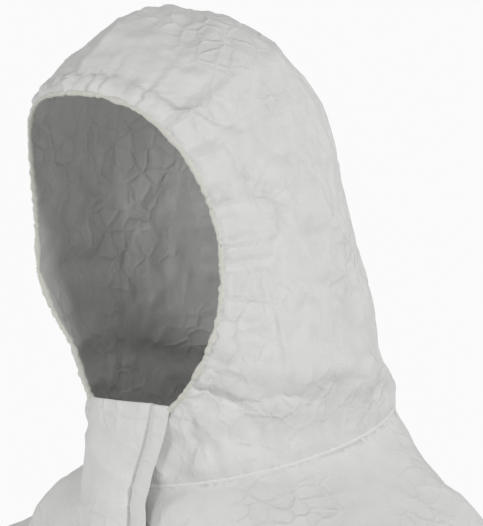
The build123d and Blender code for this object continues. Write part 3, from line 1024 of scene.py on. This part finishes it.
def makeFlap():
    s = flapShape
    share = np.linspace(0, 1, len(s["topProfile"]))
    top, low = np.array(s["topProfile"], float), np.array(s["lowProfile"], float)
    shapes = [smoothLine(share, rows[:, k]) for rows in (top, low) for k in (0, 1)]
    across = np.linspace(0, 1, s["columns"])
    points = []
    for z in np.linspace(s["top"], s["bottom"], s["rows"]):
        high = fade(z, -34, s["top"])
        x = shapes[0](across) * high + shapes[2](across) * (1 - high)
        lift = shapes[1](across) * high + shapes[3](across) * (1 - high)
        x = x + 2.2 * math.sin(z / 41 + 1) * across * (1 - high)
        dip = 3.0 * across ** 3 * high + 1.2 * np.sin(across * 3.1) * high
        points.append(np.stack([x, frontLine(z) - lift, z - dip], 1))
    points = np.concatenate(points)
    n = s["columns"]
    faces = [(j * n + i, (j + 1) * n + i, (j + 1) * n + i + 1, j * n + i + 1)
             for j in range(s["rows"] - 1) for i in range(n - 1)]
    flap = meshObject("flapCloth", points, faces)
    normals = getNormals(flap)
    if normals[:, 1].mean() > 0:
        flap.data.flip_normals()
        normals = -normals
    onFace = fade(points[:, 0], -34, -22) * (1 - 0.5 * fade(points[:, 0], 8, 16))
    offset = crumple(points, 46, 51) * 1.6 + crumple(points * np.array([1, 1, 0.5]), 17, 52) * 0.7
    for z, slant, tall in flapCreases:
        off = points[:, 2] - z - slant * points[:, 0]
        offset += tall * np.exp(-np.abs(off) / np.where(off > 0, 3.0, 10.0))
    setPoints(flap, points + normals * (offset * onFace)[:, None])
    wall = flap.modifiers.new("wall", "SOLIDIFY")
    wall.thickness = s["thickness"] * mm
    wall.offset = 1
    bakeModifiers(flap)
    smoothShade(flap)
    return flap


flapCreases = [  # height, slant and how far each stands out
    (-37, 0.1, 3.0), (-12, -0.6, 2.2), (-63, 0.3, -1.6), (-96, -0.25, 1.8), (-150, 0.2, 1.5),
    (-205, -0.3, -1.5), (-262, 0.15, 1.8), (-330, -0.2, 1.6), (-402, 0.3, -1.4), (-455, 0.1, 2.2),
    (-474, -0.15, 1.6), (-540, 0.25, 1.4), (-610, -0.3, 1.5), (-668, 0.2, -1.3),
]
flap = makeFlap()
flap.data.materials.append(flapCloth)
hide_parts("storm_flap")
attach(flap, "storm_flap")
report("storm flap")


# Rolled edges and seam beads: a soft cord of cloth along a line

def rollAlong(name, line, closed, radius, wave, seed, material, flatten=0.8):
    line = np.asarray(line, float)
    count = len(line)
    ahead = np.roll(line, -1, 0) - np.roll(line, 1, 0)
    if not closed:
        ahead[0], ahead[-1] = line[1] - line[0], line[-1] - line[-2]
    ahead /= np.linalg.norm(ahead, axis=1)[:, None]
    middle = line.mean(0)
    out = line - middle
    out -= ahead * (out * ahead).sum(1)[:, None]
    out /= np.linalg.norm(out, axis=1)[:, None]
    side = np.cross(ahead, out)
    sides = 12
    turn = np.linspace(0, 2 * math.pi, sides + 1)[:-1]
    swell = 1 + wave * softNoise(line, 3.2, seed) + 0.6 * wave * softNoise(line, 1.6, seed + 1)
    size = (radius * swell)[:, None, None]
    outPart = np.cos(turn)[None, :, None] * out[:, None] * flatten
    ring = line[:, None] + size * (outPart + np.sin(turn)[None, :, None] * side[:, None])
    faces = ringFaces(count, sides, joined=closed)
    if not closed:
        faces += [tuple(range(sides - 1, -1, -1)), tuple((count - 1) * sides + i for i in range(sides))]
    piece = meshObject(name, ring.reshape(-1, 3), faces)
    outwards(piece)
    smoothShade(piece)
    piece.data.materials.append(material)
    return piece


# Stitches, coil turns and other small things that repeat along a line

def repeatTree(name, material):
    tree = bpy.data.node_groups.new(name, "GeometryNodeTree")
    face = tree.interface
    face.new_socket("Line", in_out="INPUT", socket_type="NodeSocketGeometry")
    sizes = (("Spacing", 0.002), ("Length", 0.002), ("Thickness", 0.0004), ("Slant", 0.5), ("Lift", 0.0))
    for label, value in sizes:
        socket = face.new_socket(label, in_out="INPUT", socket_type="NodeSocketFloat")
        socket.default_value = value
    face.new_socket("Stitches", in_out="OUTPUT", socket_type="NodeSocketGeometry")
    given = tree.nodes.new("NodeGroupInput").outputs
    curve = addNode(tree, "GeometryNodeMeshToCurve", {"Mesh": given["Line"]}).outputs["Curve"]
    alongCurve = {"Curve": curve, "Length": given["Spacing"]}
    places = addNode(tree, "GeometryNodeCurveToPoints", alongCurve, mode="LENGTH").outputs
    thread = addNode(tree, "GeometryNodeMeshCylinder", {
        "Vertices": 6, "Side Segments": 3, "Radius": given["Thickness"], "Depth": given["Length"],
    }).outputs["Mesh"]
    stitches = addNode(tree, "GeometryNodeInstanceOnPoints", {
        "Points": places["Points"], "Instance": thread, "Rotation": places["Rotation"],
    }).outputs["Instances"]
    slant = addNode(tree, "ShaderNodeCombineXYZ", {"Y": given["Slant"]}).outputs["Vector"]
    lift = addNode(tree, "ShaderNodeCombineXYZ", {"X": given["Lift"]}).outputs["Vector"]
    turned = addNode(tree, "GeometryNodeRotateInstances", {"Instances": stitches, "Rotation": slant})
    lifted = {"Instances": turned.outputs["Instances"], "Translation": lift}
    raised = addNode(tree, "GeometryNodeTranslateInstances", lifted)
    realized = addNode(tree, "GeometryNodeRealizeInstances", {"Geometry": raised.outputs["Instances"]})
    painted = addNode(
        tree, "GeometryNodeSetMaterial", {"Geometry": realized.outputs["Geometry"], "Material": material},
    )
    addNode(tree, "NodeGroupOutput", {"Stitches": painted.outputs["Geometry"]})
    return tree


# One run of the tree's pieces along a line of points in millimetres
def repeatAlong(name, line, closed, tree, spacing, length, thickness, slant, lift=0.0):
    verts = [tuple(p * mm) for p in np.asarray(line, float)]
    edges = [(i, i + 1) for i in range(len(line) - 1)]
    if closed:
        edges.append((len(line) - 1, 0))
    mesh = bpy.data.meshes.new(name)
    mesh.from_pydata(verts, edges, [])
    piece = bpy.data.objects.new(name, mesh)
    bpy.context.scene.collection.objects.link(piece)
    rule = piece.modifiers.new("repeat", "NODES")
    rule.node_group = tree
    sockets = {item.name: item.identifier for item in tree.interface.items_tree if item.in_out == "INPUT"}
    for label, value in (("Spacing", spacing * mm), ("Length", length * mm), ("Thickness", thickness * mm),
                         ("Slant", slant), ("Lift", lift * mm)):
        rule[sockets[label]] = value
    bakeModifiers(piece)
    smoothShade(piece)
    return piece


threadTree = repeatTree("stitchRow", stitchThread)
coilTree = repeatTree("coilTurns", zipPlastic)

# Face opening: the hem rolled over its elastic, overlocked all round
hemPath = pullCollar(evenLine(hemLoop, 1.1, closed=True)[0])
hemRoll = rollAlong("faceHemRoll", hemPath, True, 1.8, 0.5, 71, hemCloth)
hemStitches = repeatAlong("faceHemStitches", hemPath, True, threadTree, 2.3, 3.6, 0.24, 1.65)
for piece in (hemRoll, hemStitches):
    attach(piece, "hood")

# Neck seam: a thin bead, open at the zip
neckPoints = neckLine(1.6)[0]
neckOpen = neckPoints[(np.abs(neckPoints[:, 0]) > 19) | (neckPoints[:, 1] > 0)]
neckOpen = pullCollar(neckOpen[np.argsort(np.arctan2(neckOpen[:, 0], neckOpen[:, 1]))])
neckBead = rollAlong("neckSeamBead", neckOpen, False, 1.35, 0.18, 73, seamCloth, flatten=0.75)
neckStitches = repeatAlong("neckSeamStitches", neckOpen, False, threadTree, 3.0, 2.6, 0.17, 1.2)

# Two cut ends of thread at the nape, where the seam was finished
nape = np.array([2.0, neckSeam["halfDepth"] + 0.8, neckSeam["rise"] * neckSeam["halfDepth"] + 0.4])
tails = []
tailBends = (
    [(0, 0, 0), (1, 2, 2.5), (3.5, 3.2, 2), (4.5, 3, 4.5)],
    [(0, 0, 0), (2, 1.5, -1), (4.5, 3.5, 0.5), (6, 4, 3)],
)
for number, bend in enumerate(tailBends):
    tail = evenLine([nape + np.array(step) for step in bend], 0.4)[0]
    tails.append(rollAlong(f"threadTail_{number + 1}", tail, False, 0.24, 0.05, 79, stitchThread, flatten=1))
for piece in (neckBead, neckStitches, *tails):
    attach(piece, "torso")

# Armhole seams, and the hems of the cuffs and ankles
for side, name, armhole in ((1, "left", armholes[0]), (-1, "right", armholes[1])):
    *_, run, up, _, wrist = armPlaces(side)
    seam = rollAlong("armholeSeam_" + name, armhole, True, 1.2, 0.2, 74, seamCloth)
    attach(seam, "torso")
    cuffLine = circle(wrist, up, bodyShape["wristRadius"], 120) - run * 1.5
    ankle = side * bodyShape["ankleX"], bodyShape["ankleY"], bodyShape["hem"] + 1.5
    ankleLine = ellipseRing(*ankle, 52, 58, 160)
    hems = (("cuff", cuffLine, 75, "sleeve_" + name), ("ankle", ankleLine, 77, "torso"))
    rolls = [rollAlong(f"{place}HemRoll_{name}", line, True, 1.6, 0.25, seed, hemCloth)
             for place, line, seed, _ in hems]
    threads = [repeatAlong(f"{place}Stitches_{name}", line, True, threadTree, 2.6, 3.6, 0.2, 1.3)
               for place, line, *_ in hems]
    for pieces in (rolls, threads):
        for piece, (*_, holder) in zip(pieces, hems):
            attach(piece, holder)
report("hems and seams")


# Zip: turns of coil on each tape

zipShape = {"top": 5.0, "bottom": -700.0, "beside": 2.0, "pitch": 1.5, "wide": 2.5, "wire": 0.42}
for side, name in ((1, "left"), (-1, "right")):
    s = zipShape
    line = [(side * s["beside"], frontLine(z) - 0.5, z) for z in np.linspace(s["top"], s["bottom"], 60)]
    coil = repeatAlong("zipCoilTurns_" + name, line, False, coilTree, s["pitch"], s["wide"], s["wire"], 1.571)
    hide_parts("zip_coil_" + name)
    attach(coil, "torso")
zipFinishes = {
    "zip_tape_left": tapeWeave, "zip_tape_right": tapeWeave, "zip_top_stop_left": zipPlastic,
    "zip_top_stop_right": zipPlastic, "zip_bottom_stop": zipPlastic, "zip_slider": zipPlastic,
    "zip_puller": zipPlastic,
}
for node, finish in zipFinishes.items():
    for place in bpy.data.objects[node].material_slots:
        place.material = finish
report("zip")


# Stage: floor, soft light, white surroundings

stageLook = {
    "fill": 0.34, "backdrop": 1.2, "floorHalf": 4.0, "floorTone": 0.95,
    "lamps": [  # name, place in metres, size, power
        ("leftFront", (2.4, -0.4, 0.7), 0.35, 23), ("rightFront", (-1.9, -1.8, 0.5), 0.5, 14),
        ("front", (0.4, -2.7, 0.25), 0.7, 12), ("behind", (0.6, 2.6, 1.2), 1.2, 16),
    ],
}


def makeStage():
    bpy.context.scene.view_settings.view_transform = "Standard"
    half, ground, tone = stageLook["floorHalf"] / mm, cadBox[0][2] / mm, stageLook["floorTone"]
    corners = [(x * half, y * half, ground) for x, y in ((-1, -1), (1, -1), (1, 1), (-1, 1))]
    floor = meshObject("floor", corners, [(0, 1, 2, 3)])
    paint, _, shader = newMaterial("paleFloor")
    shader.inputs["Base Color"].default_value = (tone, tone, tone, 1)
    shader.inputs["Roughness"].default_value = 0.8
    floor.data.materials.append(paint)
    world = bpy.data.worlds.new("white")
    bpy.context.scene.world = world
    world.use_nodes = True
    tree = world.node_tree
    sky = tree.nodes["Background"]
    sky.inputs["Color"].default_value = (1, 1, 1, 1)
    sky.inputs["Strength"].default_value = stageLook["fill"]
    seen = addNode(tree, "ShaderNodeBackground", {"Strength": stageLook["backdrop"]})
    ray = addNode(tree, "ShaderNodeLightPath", {}).outputs["Is Camera Ray"]
    mix = addNode(tree, "ShaderNodeMixShader", {0: ray, 1: sky.outputs[0], 2: seen.outputs[0]})
    tree.links.new(mix.outputs[0], tree.nodes["World Output"].inputs["Surface"])
    for name, place, size, power in stageLook["lamps"]:
        lamp = bpy.data.lights.new(name, "AREA")
        lamp.size = size
        lamp.energy = power
        obj = bpy.data.objects.new(name, lamp)
        obj.location = place
        obj.rotation_euler = (Vector((0, 0, 0.05)) - Vector(place)).to_track_quat("-Z", "Y").to_euler()
        bpy.context.scene.collection.objects.link(obj)


makeStage()
report("stage")
